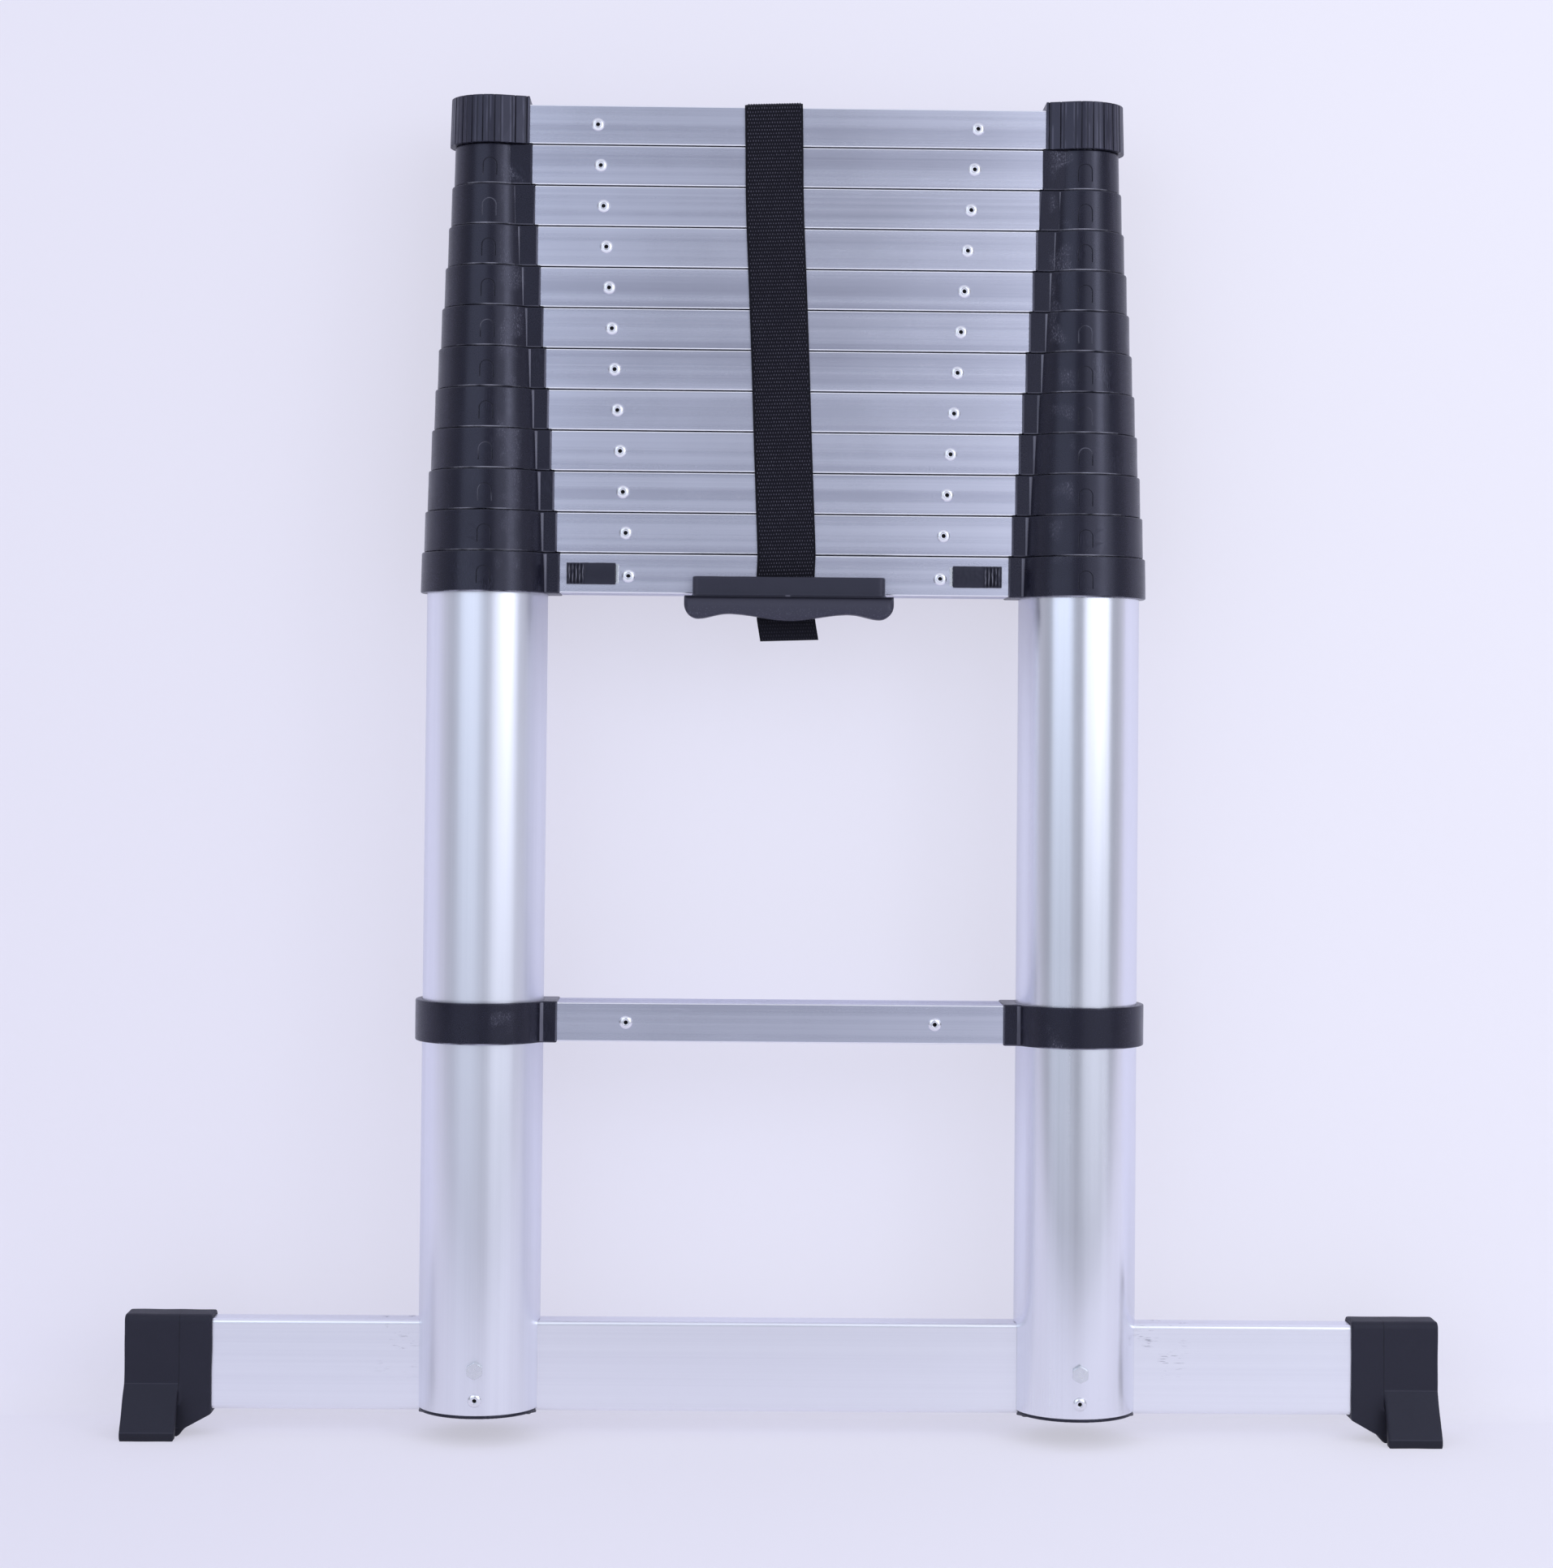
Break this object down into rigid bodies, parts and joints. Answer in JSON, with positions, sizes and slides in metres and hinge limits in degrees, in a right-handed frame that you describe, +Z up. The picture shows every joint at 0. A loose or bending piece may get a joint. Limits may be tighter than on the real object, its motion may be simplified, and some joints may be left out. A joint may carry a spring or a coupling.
{
  "type": "telescopic extension ladder",
  "caption": "Telescopic aluminium ladder, closed: nested tube stiles with plastic collars, stacked rungs, stabiliser bar with rubber feet, carrying strap and handle.",
  "frame": {"origin": "on the floor midway between the stile axes; the stabiliser bar and its feet sit 4 mm to the right of it", "axes": "+X along the rungs to the right as seen from the front, +Y towards the back, +Z up along the stiles"},
  "size_m": [0.8795, 0.0926, 0.8991],
  "materials": {
    "tube_aluminium": "satin brushed",
    "rung_aluminium": "satin extruded",
    "bar_aluminium": "satin extruded",
    "collar_plastic": "satin moulded",
    "button_plastic": "satin moulded",
    "handle_plastic": "fine moulded texture",
    "foot_rubber": "matte",
    "webbing": "woven",
    "steel": "zinc plated"
  },
  "bodies": {
    "base": {"base_tubes": "tube_aluminium", "base_collars": "collar_plastic", "base_rung": "rung_aluminium", "mid_rung": "rung_aluminium", "mid_clamps": "collar_plastic", "base_fasteners": "steel", "stabiliser_bar": "bar_aluminium", "feet": "foot_rubber", "tube_plugs": "collar_plastic", "lock_springs": "steel", "strap": "webbing", "handle": "handle_plastic"},
    "button_left": {"button_left": "button_plastic", "pin_left": "steel"},
    "button_right": {"button_right": "button_plastic", "pin_right": "steel"},
    "section_1": {"section_1_tubes": "tube_aluminium", "section_1_collars": "collar_plastic", "section_1_rung": "rung_aluminium", "section_1_pins_rivets": "steel"},
    "section_2": {"section_2_tubes": "tube_aluminium", "section_2_collars": "collar_plastic", "section_2_rung": "rung_aluminium", "section_2_pins_rivets": "steel"},
    "section_3": {"section_3_tubes": "tube_aluminium", "section_3_collars": "collar_plastic", "section_3_rung": "rung_aluminium", "section_3_pins_rivets": "steel"},
    "section_4": {"section_4_tubes": "tube_aluminium", "section_4_collars": "collar_plastic", "section_4_rung": "rung_aluminium", "section_4_pins_rivets": "steel"},
    "section_5": {"section_5_tubes": "tube_aluminium", "section_5_collars": "collar_plastic", "section_5_rung": "rung_aluminium", "section_5_pins_rivets": "steel"},
    "section_6": {"section_6_tubes": "tube_aluminium", "section_6_collars": "collar_plastic", "section_6_rung": "rung_aluminium", "section_6_pins_rivets": "steel"},
    "section_7": {"section_7_tubes": "tube_aluminium", "section_7_collars": "collar_plastic", "section_7_rung": "rung_aluminium", "section_7_pins_rivets": "steel"},
    "section_8": {"section_8_tubes": "tube_aluminium", "section_8_collars": "collar_plastic", "section_8_rung": "rung_aluminium", "section_8_pins_rivets": "steel"},
    "section_9": {"section_9_tubes": "tube_aluminium", "section_9_collars": "collar_plastic", "section_9_rung": "rung_aluminium", "section_9_pins_rivets": "steel"},
    "section_10": {"section_10_tubes": "tube_aluminium", "section_10_collars": "collar_plastic", "section_10_rung": "rung_aluminium", "section_10_pins_rivets": "steel"},
    "section_11": {"section_11_tubes": "tube_aluminium", "section_11_collars": "collar_plastic", "section_11_rung": "rung_aluminium", "section_11_pins_rivets": "steel"}
  },
  "joints": [
    {"name": "section_1_slide", "type": "slide", "parent": "base", "child": "section_1", "axis": [0, 0, 1], "range_m": [0, 0.2725], "deforming": ["strap"]},
    {"name": "section_2_slide", "type": "slide", "parent": "section_1", "child": "section_2", "axis": [0, 0, 1], "range_m": [0, 0.2725], "deforming": ["strap"]},
    {"name": "section_3_slide", "type": "slide", "parent": "section_2", "child": "section_3", "axis": [0, 0, 1], "range_m": [0, 0.2725], "deforming": ["strap"]},
    {"name": "section_4_slide", "type": "slide", "parent": "section_3", "child": "section_4", "axis": [0, 0, 1], "range_m": [0, 0.2725], "deforming": ["strap"]},
    {"name": "section_5_slide", "type": "slide", "parent": "section_4", "child": "section_5", "axis": [0, 0, 1], "range_m": [0, 0.2725], "deforming": ["strap"]},
    {"name": "section_6_slide", "type": "slide", "parent": "section_5", "child": "section_6", "axis": [0, 0, 1], "range_m": [0, 0.2725], "deforming": ["strap"]},
    {"name": "section_7_slide", "type": "slide", "parent": "section_6", "child": "section_7", "axis": [0, 0, 1], "range_m": [0, 0.2725], "deforming": ["strap"]},
    {"name": "section_8_slide", "type": "slide", "parent": "section_7", "child": "section_8", "axis": [0, 0, 1], "range_m": [0, 0.2725], "deforming": ["strap"]},
    {"name": "section_9_slide", "type": "slide", "parent": "section_8", "child": "section_9", "axis": [0, 0, 1], "range_m": [0, 0.2725], "deforming": ["strap"]},
    {"name": "section_10_slide", "type": "slide", "parent": "section_9", "child": "section_10", "axis": [0, 0, 1], "range_m": [0, 0.2725], "deforming": ["strap"]},
    {"name": "section_11_slide", "type": "slide", "parent": "section_10", "child": "section_11", "axis": [0, 0, 1], "range_m": [0, 0.2725], "deforming": ["strap"]},
    {"name": "button_left_slide", "type": "slide", "parent": "base", "child": "button_left", "axis": [1, 0, 0], "range_m": [0, 0.004], "stiffness_N_per_m": 400, "springref_m": -0.01, "deforming": ["lock_springs"]},
    {"name": "button_right_slide", "type": "slide", "parent": "base", "child": "button_right", "axis": [-1, 0, 0], "range_m": [0, 0.004], "stiffness_N_per_m": 400, "springref_m": -0.01, "deforming": ["lock_springs"]}
  ]
}
